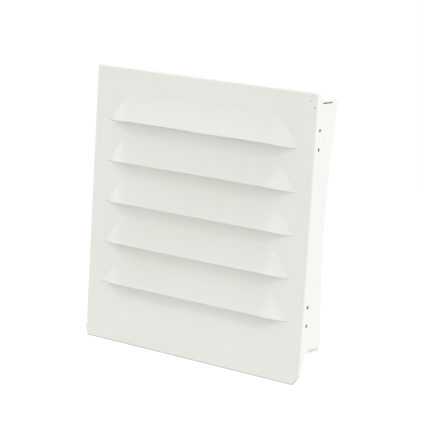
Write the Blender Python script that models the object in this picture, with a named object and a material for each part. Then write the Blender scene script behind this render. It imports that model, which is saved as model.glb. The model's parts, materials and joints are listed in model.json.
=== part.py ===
"""Louvred air grille: a folded sheet-steel weather hood over a screwed-on wall frame.

Axes: +X right as seen from the front, +Y into the wall, +Z up. Metres.
Origin: in the wall plane, at the middle of the wall frame. The hood's front panel faces -Y.
"""

import math

import bmesh
import bpy
from mathutils import Vector

GAP = 0.0003                 # clearance between touching pieces

# Hood, folded from one sheet
PANEL_WIDTH = 0.250
PANEL_TOP = 0.1205
CASING_HALF_HEIGHT = 0.1141  # the deep part of the side walls, above and below the origin
HOOD_DEPTH = 0.032           # front panel to wall plane
SHEET = 0.001
BEND_RADIUS = 0.0015
EDGE_FLANGE = 0.0054         # shallow flange down the sides of the panel
TOP_FLANGE = 0.0031          # the same along the top, where the side flanges narrow to it
REAR_CORNER_RADIUS = 0.0055  # side wall, upper rear corner
REAR_CORNER_CUT = 0.0060     # side wall, lower rear corner
REAR_CORNER_SLOPE = 0.62     # depth lost for each unit of height at that cut
REAR_EDGE_ARCH = 0.0086      # how far the side wall's rear edge is hollowed at mid-height

# Drip lip along the foot of the panel
FLARE_START = -0.1285
LIP_BOTTOM = -0.1409
LIP_FORWARD = 0.0036
LIP_CORNER_TAPER = 0.0054
LIP_CORNER_HEIGHT = 0.0110
FLANGE_END = -0.1216
FLANGE_RUN_OUT = 0.0105      # height over which the side flange fades into the lip
FREE_EDGE = 0.0010           # what is left of the flange along the lip's ends
LIP_ROWS = 7
LIP_CURVE = 1.7              # 1 is a straight flare, more curves it forward at the foot
LIP_CORNER_CURVE = 1.6

# Pressed louvres
LOUVRE_COUNT = 5
LOUVRE_PITCH = 0.0390
FIRST_CUT_LINE = PANEL_TOP - 0.0505
LOUVRE_RISE = 0.0292         # cut line up to the top crease
LOUVRE_PROTRUSION = 0.0090
LIP_LIFT = 0.0019            # the lip pulls up as it is pressed out
LOUVRE_HALF_LENGTH = 0.1053
LOUVRE_TOP_HALF = 0.0825
LOUVRE_END_RUN = 0.0243      # length over which each end slopes down to the panel
END_BOW = 1.45               # above 1 the outline of the end bows outward
MIDDLE_COLUMN = 0.035        # where the flat middle of the panel gets a mesh column
END_COLUMNS = (1.22, 1.05, 0.9, 0.72, 0.54, 0.36, 0.18, 0.0)
SLIDE_ROWS = (0.0, 0.08, 0.18, 0.34, 0.56, 0.78, 1.0)
CUT_WIDTH = 0.0004
CUT_OVERRUN = 0.0020
END_BLEND = 0.22             # softness of the crease between face and end
TOP_BLEND = 0.16             # softness of the crease along the louvre's top

# Side-wall openings
CLIP_HOLE_RADIUS = 0.0015
CLIP_HOLE_DEPTH = 0.0056     # hole centre behind the front panel
CLIP_HOLE_SPACING = 0.0170
CLIP_HEIGHT = 0.0792         # clip centre above and below the origin
SLOT_LENGTH = 0.0150
SLOT_HEIGHT = 0.0017
UPPER_SLOT_FRONT = 0.0076    # front end of the slot behind the panel
LOWER_SLOT_FRONT = 0.0116
SLOT_INSET = 0.0015          # slot edge from the side wall's upper or lower edge
HOLE_SIDES = 16
CUTTER_DEPTH = 0.0060        # cutters run this far across a sheet, past both its faces

# Cross plates inside the hood
PLATE_FLANGE = 0.0090
TOP_PLATE_HEM = 0.0046       # closes the gap over the wall frame
BOTTOM_PLATE_HEM = 0.0030
TOP_PLATE_INSET = 0.0018        # its sheet ends show in the upper slots
PLATE_REAR_GAP = 0.0015
FOLD_RADIUS = 0.0015         # outside radius of a plain sheet fold
FOLD_STEPS = 3
TAB_OVERLAP = 0.0020         # end tabs run this far into the plate they belong to
TAB_SHY = 0.0001             # and stop this far short of the wall's outer face

# Wall frame
FRAME_HALF_WIDTH = 0.1180
FRAME_HALF_HEIGHT = 0.1070
FRAME_FRONT = -0.0178
GASKET_THICKNESS = 0.0020
GASKET_WIDTH = 0.0105
RAIL_FLANGE = 0.0190
CROSS_RAIL_FLANGE = 0.0150
CORNER_TAB = 0.0130
CORNER_TAB_DEPTH = 0.0115
JOINT_SETBACK = 0.0010
TONGUE_WIDTH = 0.0080
TONGUE_REACH = 0.0070
TONGUE_OFFSET = 0.0600
WALL_HOLE_RADIUS = 0.0025
WALL_HOLE_X = 0.1035
WALL_HOLE_Z = 0.0820

# Insect screen and its edge beads
SCREEN_THICKNESS = 0.0005
BEAD_WIDTH = 0.0060
BEAD_THICKNESS = 0.0029
BEAD_GROOVE = 0.0042
BEAD_END_CLEARANCE = 0.0006

# Blind rivets
RIVET_SHANK = 0.0015
RIVET_HEAD = 0.0026
RIVET_HEAD_HEIGHT = 0.0011
RIVET_BULB = 0.0021
RIVET_BULB_LENGTH = 0.0022
RIVET_HOLLOW = 0.0008
RIVET_HOLLOW_FLOOR = 0.0004  # above the head's seat
RIVET_BULB_SHOULDER = 0.0005
RIVET_HOLE = 0.00185
RIVET_SIDES = 12
RIVET_PLACES = ((0.0036, 0.0050), (0.0086, 0.0098))  # behind the web's front edge, in from its end

# Spring clips
CLIP_THICKNESS = 0.0005
CLIP_WIDTH = 0.0250
CLIP_BEND = 0.0016
CLIP_FRONT = 0.0030          # depths behind the front panel: foot, knee, crest and tail
CLIP_KNEE = 0.0125
CLIP_CREST = 0.0215
CLIP_TAIL = 0.0275
CLIP_FLARE = 0.0028          # the tail stands this far off the frame
LUG_SHY = 0.0004             # lugs stop this far short of the wall's outer face
LUG_ROOT = 0.0002

HALF_WIDTH = PANEL_WIDTH / 2
FRONT_Y = -HOOD_DEPTH
FLANGE_BACK_Y = -GASKET_THICKNESS - GAP
CLIP_HOLE_Y = FRONT_Y + CLIP_HOLE_DEPTH
PANEL_KINDS = ("middle", "end", "margin", "side")


# ---------------------------------------------------------------- helpers

def clear_scene():
    for old in list(bpy.data.objects):
        bpy.data.objects.remove(old, do_unlink=True)


def make_material(name, colour, roughness, metallic):
    material = bpy.data.materials.new(name)
    material.use_nodes = True
    shader = material.node_tree.nodes["Principled BSDF"]
    shader.inputs["Base Color"].default_value = (*colour, 1.0)
    shader.inputs["Roughness"].default_value = roughness
    shader.inputs["Metallic"].default_value = metallic
    material.diffuse_color = (*colour, 1.0)
    return material


def object_from(name, mesh_build, material):
    mesh = bpy.data.meshes.new(name)
    mesh_build.to_mesh(mesh)
    mesh_build.free()
    mesh.materials.append(material)
    made = bpy.data.objects.new(name, mesh)
    bpy.context.scene.collection.objects.link(made)
    return made


def guide(cutter):
    cutter.hide_render = True
    cutter.display_type = "WIRE"
    return cutter


def add_boolean(target, other, operation):
    step = target.modifiers.new(operation.lower(), "BOOLEAN")
    step.operation = operation
    step.solver = "EXACT"
    step.object = other


def add_box(build, low, high):
    corners = bmesh.ops.create_cube(build, size=1.0)["verts"]
    for corner in corners:
        corner.co = Vector(
            (low[k] + high[k]) / 2 + corner.co[k] * (high[k] - low[k]) for k in range(3)
        )


def sorted_box(low, high):
    return (
        tuple(min(a, b) for a, b in zip(low, high)),
        tuple(max(a, b) for a, b in zip(low, high)),
    )


def add_cylinder_x(build, centre, radius, length, sides):
    """A closed cylinder along X."""
    made = bmesh.ops.create_cone(
        build, cap_ends=True, segments=sides, radius1=radius, radius2=radius, depth=length
    )["verts"]
    for corner in made:
        x, y, z = corner.co
        corner.co = Vector((z + centre[0], y + centre[1], -x + centre[2]))


def add_cylinder_y(build, centre, radius, length, sides):
    """A closed cylinder along Y."""
    made = bmesh.ops.create_cone(
        build, cap_ends=True, segments=sides, radius1=radius, radius2=radius, depth=length
    )["verts"]
    for corner in made:
        x, y, z = corner.co
        corner.co = Vector((x + centre[0], -z + centre[1], y + centre[2]))


def rounded_path(points, radius, steps):
    """The polyline's inner corners replaced by arcs of the given radius."""
    path = [Vector(points[0])]
    for before, corner, after in zip(points, points[1:], points[2:]):
        corner = Vector(corner)
        into = (Vector(before) - corner).normalized()
        out = (Vector(after) - corner).normalized()
        half = into.angle(out) / 2
        setback = radius / math.tan(half)
        centre = corner + (into + out).normalized() * radius / math.sin(half)
        start = corner + into * setback - centre
        finish = corner + out * setback - centre
        sweep = start.angle_signed(finish)
        for k in range(steps + 1):
            turn = -sweep * k / steps
            cos, sin = math.cos(turn), math.sin(turn)
            spoke = Vector((start.x * cos - start.y * sin, start.x * sin + start.y * cos))
            path.append(centre + spoke)
    path.append(Vector(points[-1]))
    return path


def folded_strip(build, path, thickness, low, high, place):
    """A strip of sheet folded along the path, whose left side the thickness goes to."""
    offset = []
    for k, point in enumerate(path):
        before = (point - path[k - 1]).normalized() if k else None
        after = (path[k + 1] - point).normalized() if k + 1 < len(path) else None
        along = ((before or after) + (after or before)).normalized()
        normal = Vector((-along.y, along.x))
        facing = after or before
        stretch = 1 / max(0.2, along.dot(facing))
        offset.append(point + normal * thickness * stretch)
    outline = path + offset[::-1]
    ends = [
        [build.verts.new(place(point.x, point.y, level)) for point in outline]
        for level in (low, high)
    ]
    count = len(outline)
    half = len(path)
    for k in range(half - 1):
        twin = count - 1 - k
        for ring in ends:
            build.faces.new((ring[k], ring[k + 1], ring[twin - 1], ring[twin]))
    for k in range(count):
        follow = (k + 1) % count
        build.faces.new((ends[0][k], ends[0][follow], ends[1][follow], ends[1][k]))
    bmesh.ops.recalc_face_normals(build, faces=build.faces)


# ---------------------------------------------------------------- hood sheet

def smooth_min(a, b, softness):
    blend = max(softness - abs(a - b), 0.0) / softness
    return min(a, b) - blend * blend * softness / 4


def louvre_height(end, slide):
    """Share of the full press-out: slide runs 0 to 1 down the face, end 0 to 1 up the end."""
    face = (math.hypot(slide, TOP_BLEND) - TOP_BLEND) / (math.hypot(1, TOP_BLEND) - TOP_BLEND)
    softness = min(END_BLEND, 2 * face, 2 * end) + 1e-9
    return max(0.0, smooth_min(face, end, softness))


def louvre_foot(slide):
    """Half length of the louvre's outline on the panel, bowed outward."""
    return LOUVRE_HALF_LENGTH - (LOUVRE_HALF_LENGTH - LOUVRE_TOP_HALF) * (1 - slide) ** END_BOW


def hood_columns():
    """Mesh columns of the right half, middle to rear edge, as (kind, value)."""
    columns = [("middle", 0.0), ("middle", MIDDLE_COLUMN)]
    columns += [("end", end) for end in END_COLUMNS]
    columns += [("margin", CUT_OVERRUN), ("side", None)]
    columns += [("bend", math.radians(30 * k)) for k in (1, 2, 3)]
    columns += [("edge", None), ("wall", None)]
    return columns


def rear_edge(z):
    """Y of the side wall's rear edge: hollowed, with a round upper and a cut lower corner."""
    z = max(-CASING_HALF_HEIGHT, min(CASING_HALF_HEIGHT, z))
    share = z / CASING_HALF_HEIGHT
    y = -REAR_EDGE_ARCH * (1 - share * share)
    from_top = CASING_HALF_HEIGHT - z
    if from_top < REAR_CORNER_RADIUS:
        rise = REAR_CORNER_RADIUS - from_top
        y -= REAR_CORNER_RADIUS - math.sqrt(REAR_CORNER_RADIUS**2 - rise**2)
    from_bottom = CASING_HALF_HEIGHT + z
    if from_bottom < REAR_CORNER_CUT:
        y -= (REAR_CORNER_CUT - from_bottom) * REAR_CORNER_SLOPE
    return y


def hood_rows():
    """Mesh rows from the top flange down to the drip lip, each a dictionary."""
    rows = [{"kind": "flange", "z": PANEL_TOP}]
    for k in (3, 2, 1):
        rows.append({"kind": "cap", "angle": math.radians(30 * k)})
    rows.append({"kind": "flat", "z": PANEL_TOP - BEND_RADIUS})
    for share in (0.0, 0.08, 0.3, 0.62, 1.0):
        rows.append({"kind": "flat", "z": CASING_HALF_HEIGHT - share * REAR_CORNER_RADIUS})
    for number in range(LOUVRE_COUNT):
        cut = FIRST_CUT_LINE - number * LOUVRE_PITCH
        for slide in SLIDE_ROWS:
            rows.append({"kind": "louvre", "z": cut + LOUVRE_RISE * (1 - slide), "slide": slide})
        rows.append({"kind": "below_cut", "z": cut - CUT_WIDTH, "slide": 1.0})
    rows.append({"kind": "flat", "z": -CASING_HALF_HEIGHT + REAR_CORNER_CUT})
    rows.append({"kind": "flat", "z": -CASING_HALF_HEIGHT})
    for k in range(LIP_ROWS + 1):
        share = k / LIP_ROWS
        rows.append({"kind": "lip", "z": FLANGE_END + (LIP_BOTTOM - FLANGE_END) * share})
    return rows


def front_of(z):
    """Y of the panel face: flat, then curving forward along the drip lip."""
    if z >= FLARE_START:
        return FRONT_Y
    share = (FLARE_START - z) / (FLARE_START - LIP_BOTTOM)
    return FRONT_Y - LIP_FORWARD * share**LIP_CURVE


def half_width_at(z):
    """Half width of the sheet: full, then drawn in round the lip's corners."""
    share = max(0.0, 1 - (z - LIP_BOTTOM) / LIP_CORNER_HEIGHT)
    return HALF_WIDTH - LIP_CORNER_TAPER * share**LIP_CORNER_CURVE


def flange_depth(z):
    """Depth of the side flange, which narrows above the casing to the top flange's depth."""
    above = max(0.0, z - CASING_HALF_HEIGHT) / (PANEL_TOP - CASING_HALF_HEIGHT)
    return EDGE_FLANGE + (TOP_FLANGE - EDGE_FLANGE) * above


def panel_x(column, slide, side_x):
    """X of a panel column in a row that lies at this slide down a louvre."""
    kind, value = column
    if kind == "middle":
        return value
    if kind == "end":
        return louvre_foot(slide) - value * LOUVRE_END_RUN
    if kind == "margin":
        return louvre_foot(slide) + value
    return side_x


def top_point(row, column):
    """A point of the bend along the panel's top edge, or of the flange behind it."""
    kind, value = column
    angle = row.get("angle", math.pi / 2)
    shrink = math.cos(angle)
    flat_x = HALF_WIDTH - BEND_RADIUS
    if kind in PANEL_KINDS:
        turn, x = 0.0, panel_x(column, 0.0, flat_x)
    else:
        turn = value if kind == "bend" else math.pi / 2
        x = flat_x + BEND_RADIUS * math.sin(turn) * shrink
    y = FRONT_Y + BEND_RADIUS * (1 - math.cos(turn) * shrink)
    if row["kind"] == "flange" or kind in ("edge", "wall"):
        y = FRONT_Y + TOP_FLANGE
    return Vector((x, y, PANEL_TOP - BEND_RADIUS * (1 - math.sin(angle))))


def hood_point(row, column):
    """A point of the right half of the hood's outer face."""
    kind, value = column
    if row["kind"] in ("flange", "cap"):
        return top_point(row, column)

    z = row["z"]
    y = front_of(z)
    fade = min(1.0, max(0.0, (FLANGE_END - z) / FLANGE_RUN_OUT))
    fold = math.pi / 2 * (1 - fade**3)
    flange = (flange_depth(z) - BEND_RADIUS) * (1 - fade) + FREE_EDGE * fade
    side_x = half_width_at(z) - BEND_RADIUS * math.sin(fold) - flange * math.cos(fold)
    if kind in PANEL_KINDS:
        slide = row.get("slide", 0.0)
        x = panel_x(column, slide, side_x)
        if row["kind"] == "louvre" and kind in ("middle", "end"):
            press = louvre_height(value if kind == "end" else 2.0, slide)
            y -= LOUVRE_PROTRUSION * press
            z += LIP_LIFT * press**2
        if row["kind"] == "below_cut" and kind == "margin":
            z += CUT_WIDTH
        return Vector((x, y, z))

    turn = value * fold * 2 / math.pi if kind == "bend" else fold
    x = side_x + BEND_RADIUS * math.sin(turn)
    y += BEND_RADIUS * (1 - math.cos(turn))
    if kind in ("edge", "wall"):
        x += flange * math.cos(fold)
        y += flange * math.sin(fold)
    if kind == "wall":
        y = rear_edge(z)
    return Vector((x, y, z))


def make_hood(material):
    """The one-piece hood: panel with louvres, edge flanges, deep side walls and drip lip."""
    columns = hood_columns()
    rows = hood_rows()
    build = bmesh.new()

    for side in (1, -1):
        grid = []
        for row in rows:
            points = [hood_point(row, column) for column in columns]
            grid.append([build.verts.new((side * p.x, p.y, p.z)) for p in points])
        for r in range(len(rows) - 1):
            upper, lower = rows[r], rows[r + 1]
            for c in range(len(columns) - 1):
                kind = columns[c + 1][0]
                if upper["kind"] == "flange" and kind not in PANEL_KINDS:
                    continue
                if lower["kind"] == "below_cut" and kind in ("middle", "end", "margin"):
                    continue
                if kind == "wall":
                    levels = [upper.get("z", 1.0), lower.get("z", 1.0)]
                    if max(levels) > CASING_HALF_HEIGHT + 1e-6:
                        continue
                    if min(levels) < -CASING_HALF_HEIGHT - 1e-6:
                        continue
                corners = (grid[r][c], grid[r + 1][c], grid[r + 1][c + 1], grid[r][c + 1])
                build.faces.new(corners if side > 0 else corners[::-1])

    bmesh.ops.remove_doubles(build, verts=build.verts, dist=1e-6)
    loose = [vert for vert in build.verts if not vert.link_faces]
    bmesh.ops.delete(build, geom=loose, context="VERTS")
    bmesh.ops.dissolve_degenerate(build, dist=1e-6, edges=build.edges)
    bmesh.ops.dissolve_limit(
        build, angle_limit=math.radians(0.2), verts=build.verts, edges=build.edges
    )
    bmesh.ops.triangulate(build, faces=build.faces)
    hood = object_from("front_hood", build, material)

    wall = hood.modifiers.new("sheet", "SOLIDIFY")
    wall.thickness = SHEET
    wall.offset = -1.0
    wall.use_even_offset = True
    add_boolean(hood, hood_openings(material), "DIFFERENCE")
    return hood


def slot_box(side, top):
    """Low and high corner of a side-wall slot, run past both faces of the wall."""
    edge = CASING_HALF_HEIGHT - SLOT_INSET
    levels = (edge - SLOT_HEIGHT, edge) if top else (-edge, -edge + SLOT_HEIGHT)
    start = FRONT_Y + (UPPER_SLOT_FRONT if top else LOWER_SLOT_FRONT)
    return sorted_box(
        (side * (HALF_WIDTH - CUTTER_DEPTH / 2), start, levels[0]),
        (side * (HALF_WIDTH + CUTTER_DEPTH / 2), start + SLOT_LENGTH, levels[1]),
    )


def hood_openings(material):
    """One cutter for the slots and clip holes of both side walls."""
    build = bmesh.new()
    for side in (1, -1):
        for top in (True, False):
            add_box(build, *slot_box(side, top))
        for level in (CLIP_HEIGHT, -CLIP_HEIGHT):
            for step in (0.5, -0.5):
                centre = (side * HALF_WIDTH, CLIP_HOLE_Y, level + step * CLIP_HOLE_SPACING)
                add_cylinder_x(build, centre, CLIP_HOLE_RADIUS, CUTTER_DEPTH, HOLE_SIDES)
    return guide(object_from("hood_opening_cutter", build, material))


# ---------------------------------------------------------------- hood fittings

def make_top_plate(material):
    """Folded cross plate that closes the top of the casing."""
    top = CASING_HALF_HEIGHT - TOP_PLATE_INSET
    front = FRONT_Y + SHEET + GAP
    back = -PLATE_REAR_GAP - REAR_CORNER_RADIUS
    corners = [
        (front, top - PLATE_FLANGE),
        (front, top),
        (back, top),
        (back, top - TOP_PLATE_HEM),
    ]
    path = rounded_path(corners[::-1], FOLD_RADIUS, FOLD_STEPS)
    build = bmesh.new()
    reach = HALF_WIDTH - BEND_RADIUS - GAP
    folded_strip(build, path, SHEET, -reach, reach, lambda a, b, level: (level, a, b))
    return object_from("hood_top_plate", build, material)


def make_bottom_plate(material):
    """Folded cross plate at the foot of the casing, whose end tabs sit in the lower slots."""
    clearance = (SLOT_HEIGHT - SHEET) / 2
    under = -CASING_HALF_HEIGHT + SLOT_INSET + clearance
    front = FRONT_Y + SHEET + GAP
    back = -PLATE_REAR_GAP - REAR_CORNER_CUT
    corners = [
        (front, under + PLATE_FLANGE),
        (front, under),
        (back, under),
        (back, under + BOTTOM_PLATE_HEM),
    ]
    path = rounded_path(corners, FOLD_RADIUS, FOLD_STEPS)
    build = bmesh.new()
    reach = HALF_WIDTH - BEND_RADIUS - GAP
    folded_strip(build, path, SHEET, -reach, reach, lambda a, b, level: (level, a, b))
    plate = object_from("hood_bottom_plate", build, material)

    tabs = bmesh.new()
    for side in (1, -1):
        low, high = slot_box(side, False)
        outer = side * (HALF_WIDTH - TAB_SHY)
        inner = side * (reach - TAB_OVERLAP)
        add_box(
            tabs,
            *sorted_box(
                (inner, low[1] + GAP, under),
                (outer, high[1] - GAP, under + SHEET),
            ),
        )
    add_boolean(plate, guide(object_from("bottom_tab_blank", tabs, material)), "UNION")
    return plate


def make_clip(name, side, level, material):
    """Leaf spring inside a side wall: two lugs in the wall's holes, a bow that grips the frame."""
    wall = HALF_WIDTH - SHEET - GAP
    crest = FRAME_HALF_WIDTH + GAP + CLIP_THICKNESS
    corners = [
        (wall, FRONT_Y + CLIP_FRONT),
        (wall, FRONT_Y + CLIP_KNEE),
        (crest, FRONT_Y + CLIP_CREST),
        (crest + CLIP_FLARE, FRONT_Y + CLIP_TAIL),
    ]
    path = rounded_path(corners, CLIP_BEND, FOLD_STEPS)
    build = bmesh.new()
    folded_strip(
        build,
        path,
        CLIP_THICKNESS,
        -CLIP_WIDTH / 2,
        CLIP_WIDTH / 2,
        lambda a, b, height: (side * a, b, height),
    )
    clip = object_from(name, build, material)
    lugs = bmesh.new()
    for step in (0.5, -0.5):
        outer, inner = HALF_WIDTH - LUG_SHY, wall - LUG_ROOT
        centre = (side * (outer + inner) / 2, CLIP_HOLE_Y, step * CLIP_HOLE_SPACING)
        add_cylinder_x(lugs, centre, CLIP_HOLE_RADIUS - GAP, outer - inner, HOLE_SIDES)
    blank = guide(object_from(name + "_lug_blank", lugs, material))
    add_boolean(clip, blank, "UNION")
    clip.location.z = level
    blank.location.z = level
    return clip


# ---------------------------------------------------------------- wall frame

def make_side_rail(name, side, material):
    """Upright angle rail: web forward, flange on the wall side with two screw holes."""
    build = bmesh.new()
    corners = [
        (FRAME_HALF_WIDTH - RAIL_FLANGE, FLANGE_BACK_Y),
        (FRAME_HALF_WIDTH, FLANGE_BACK_Y),
        (FRAME_HALF_WIDTH, FRAME_FRONT),
    ]
    path = rounded_path(corners, FOLD_RADIUS, FOLD_STEPS)
    folded_strip(
        build,
        path[::-1],
        SHEET,
        -FRAME_HALF_HEIGHT,
        FRAME_HALF_HEIGHT,
        lambda a, b, level: (side * a, b, level),
    )
    rail = object_from(name, build, material)

    tongues = bmesh.new()
    for level in (TONGUE_OFFSET, -TONGUE_OFFSET):
        add_box(
            tongues,
            *sorted_box(
                (side * (FRAME_HALF_WIDTH - SHEET / 2), tongue_front(), level - TONGUE_WIDTH / 2),
                (
                    side * (FRAME_HALF_WIDTH - SHEET - TONGUE_REACH),
                    tongue_front() + SHEET,
                    level + TONGUE_WIDTH / 2,
                ),
            ),
        )
    add_boolean(rail, guide(object_from(name + "_tongue_blank", tongues, material)), "UNION")

    holes = bmesh.new()
    for level in (WALL_HOLE_Z, -WALL_HOLE_Z):
        centre = (side * WALL_HOLE_X, FLANGE_BACK_Y - SHEET / 2, level)
        add_cylinder_y(holes, centre, WALL_HOLE_RADIUS, CUTTER_DEPTH, HOLE_SIDES)
    for centre in rivet_centres(side):
        add_cylinder_x(holes, centre, RIVET_HOLE, CUTTER_DEPTH, RIVET_SIDES)
    add_boolean(rail, guide(object_from(name + "_hole_cutter", holes, material)), "DIFFERENCE")
    return rail


def make_cross_rail(name, sign, material):
    """Top or bottom angle rail, with a bent tab at each end riveted inside the side rails."""
    web_end = FRAME_HALF_WIDTH - SHEET - GAP
    flange_end = FRAME_HALF_WIDTH - RAIL_FLANGE - GAP
    outer, inner = FRAME_HALF_HEIGHT, FRAME_HALF_HEIGHT - SHEET
    flange_front = FLANGE_BACK_Y - SHEET
    web_back = flange_front - GAP
    build = bmesh.new()
    add_box(
        build,
        *sorted_box((-web_end, FRAME_FRONT, sign * inner), (web_end, web_back, sign * outer)),
    )
    rail = object_from(name, build, material)

    parts = bmesh.new()
    add_box(
        parts,
        *sorted_box(
            (-flange_end, flange_front, sign * (outer - CROSS_RAIL_FLANGE)),
            (flange_end, FLANGE_BACK_Y, sign * outer),
        ),
    )
    joint = bmesh.new()
    add_box(
        joint,
        *sorted_box(
            (-flange_end, FRAME_FRONT + JOINT_SETBACK, sign * inner),
            (flange_end, flange_front + SHEET / 2, sign * outer),
        ),
    )
    tabs = bmesh.new()
    for side in (1, -1):
        add_box(
            tabs,
            *sorted_box(
                (side * web_end, FRAME_FRONT, sign * (inner + SHEET / 2)),
                (side * (web_end - SHEET), FRAME_FRONT + CORNER_TAB_DEPTH, sign * (outer - CORNER_TAB)),
            ),
        )
    tongues = bmesh.new()
    for x in (TONGUE_OFFSET, -TONGUE_OFFSET):
        add_box(
            tongues,
            *sorted_box(
                (x - TONGUE_WIDTH / 2, tongue_front(), sign * (inner + SHEET / 2)),
                (x + TONGUE_WIDTH / 2, tongue_front() + SHEET, sign * (inner - TONGUE_REACH)),
            ),
        )
    blanks = (("flange", parts), ("joint", joint), ("tab", tabs), ("tongue", tongues))
    for label, blank in blanks:
        add_boolean(rail, guide(object_from(f"{name}_{label}_blank", blank, material)), "UNION")

    holes = bmesh.new()
    for side in (1, -1):
        for centre in rivet_centres(side):
            if centre[2] * sign > 0:
                add_cylinder_x(holes, centre, RIVET_HOLE, CUTTER_DEPTH, RIVET_SIDES)
    add_boolean(rail, guide(object_from(name + "_hole_cutter", holes, material)), "DIFFERENCE")
    return rail


def tongue_front():
    """Y of the retaining tongues' front face, just ahead of the screen's beads."""
    return bead_front() - GAP - SHEET


def rivet_centres(side):
    """Where the corner rivets cross the web of one side rail, two set slantwise per corner."""
    return [
        (side * (FRAME_HALF_WIDTH - SHEET), FRAME_FRONT + depth, sign * (FRAME_HALF_HEIGHT - drop))
        for sign in (1, -1)
        for depth, drop in RIVET_PLACES
    ]


def make_rivet(name, centre, side, material):
    """A closed blind rivet: domed head outside, shank, set bulb inside."""
    head = FRAME_HALF_WIDTH + GAP
    tail = FRAME_HALF_WIDTH - 2 * SHEET - 2 * GAP
    profile = [
        (0.0, head + RIVET_HOLLOW_FLOOR),
        (RIVET_HOLLOW, head + RIVET_HOLLOW_FLOOR),
        (RIVET_HOLLOW, head + RIVET_HEAD_HEIGHT),
        (RIVET_HEAD * 0.62, head + RIVET_HEAD_HEIGHT * 0.9),
        (RIVET_HEAD, head + RIVET_HEAD_HEIGHT * 0.25),
        (RIVET_HEAD, head),
        (RIVET_SHANK, head),
        (RIVET_SHANK, tail),
        (RIVET_BULB, tail - RIVET_BULB_SHOULDER),
        (RIVET_BULB, tail - RIVET_BULB_LENGTH + RIVET_BULB_SHOULDER),
        (RIVET_SHANK * 0.8, tail - RIVET_BULB_LENGTH),
        (0.0, tail - RIVET_BULB_LENGTH),
    ]
    build = bmesh.new()
    chain = [build.verts.new((x, radius, 0.0)) for radius, x in profile]
    edges = [build.edges.new(pair) for pair in zip(chain, chain[1:])]
    bmesh.ops.spin(
        build,
        geom=chain + edges,
        cent=(0, 0, 0),
        axis=(1, 0, 0),
        angle=math.tau,
        steps=RIVET_SIDES,
        use_merge=True,
    )
    bmesh.ops.remove_doubles(build, verts=build.verts, dist=1e-7)
    for vert in build.verts:
        vert.co.x *= side
    bmesh.ops.recalc_face_normals(build, faces=build.faces)
    rivet = object_from(name, build, material)
    rivet.data.shade_smooth()
    rivet.data.set_sharp_from_angle(angle=math.radians(35))
    rivet.location = (0.0, centre[1], centre[2])
    return rivet


def make_gasket(name, low, high, material):
    build = bmesh.new()
    add_box(build, *sorted_box(low, high))
    return object_from(name, build, material)


# ---------------------------------------------------------------- insect screen

def bead_front():
    return FLANGE_BACK_Y - SHEET - GAP - BEAD_THICKNESS


def bead_outer_half():
    """Half width and half height over the screen's beads."""
    tab_inner = FRAME_HALF_WIDTH - 2 * SHEET - GAP
    return tab_inner - BEAD_END_CLEARANCE, FRAME_HALF_HEIGHT - SHEET - BEAD_END_CLEARANCE


def make_bead(name, upright, sign, material):
    """A grooved edge strip of the screen, open towards the mesh."""
    half_x, half_z = bead_outer_half()
    outer = half_x if upright else half_z
    length = half_z if upright else half_x - BEAD_WIDTH - GAP
    middle = bead_front() + BEAD_THICKNESS / 2
    groove = SCREEN_THICKNESS / 2 + GAP
    front, back = bead_front(), bead_front() + BEAD_THICKNESS
    outline = [
        (outer, front),
        (outer, back),
        (outer - BEAD_WIDTH, back),
        (outer - BEAD_WIDTH, middle + groove),
        (outer - BEAD_WIDTH + BEAD_GROOVE, middle + groove),
        (outer - BEAD_WIDTH + BEAD_GROOVE, middle - groove),
        (outer - BEAD_WIDTH, middle - groove),
        (outer - BEAD_WIDTH, front),
    ]
    build = bmesh.new()
    rings = []
    for level in (-length, length):
        ring = []
        for across, y in outline:
            spot = (sign * across, y, level) if upright else (level, y, sign * across)
            ring.append(build.verts.new(spot))
        rings.append(ring)
    count = len(outline)
    for ring in rings:
        build.faces.new(ring)
    for k in range(count):
        follow = (k + 1) % count
        build.faces.new((rings[0][k], rings[0][follow], rings[1][follow], rings[1][k]))
    bmesh.ops.recalc_face_normals(build, faces=build.faces)
    return object_from(name, build, material)


def make_screen(material):
    """The mesh cloth, as a thin sheet held in the beads' grooves."""
    half_x, half_z = bead_outer_half()
    inset = BEAD_WIDTH - BEAD_GROOVE + 2 * GAP
    middle = bead_front() + BEAD_THICKNESS / 2
    build = bmesh.new()
    add_box(
        build,
        (-half_x + inset, middle - SCREEN_THICKNESS / 2, -half_z + inset),
        (half_x - inset, middle + SCREEN_THICKNESS / 2, half_z - inset),
    )
    return object_from("insect_screen", build, material)


# ---------------------------------------------------------------- assembly

def build_hood(parent, paint, spring):
    pieces = [make_hood(paint), make_top_plate(paint), make_bottom_plate(paint)]
    for side, side_name in ((-1, "left"), (1, "right")):
        for level, level_name in ((CLIP_HEIGHT, "upper"), (-CLIP_HEIGHT, "lower")):
            pieces.append(make_clip(f"clip_{level_name}_{side_name}", side, level, spring))
    for piece in pieces:
        piece.parent = parent


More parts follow.
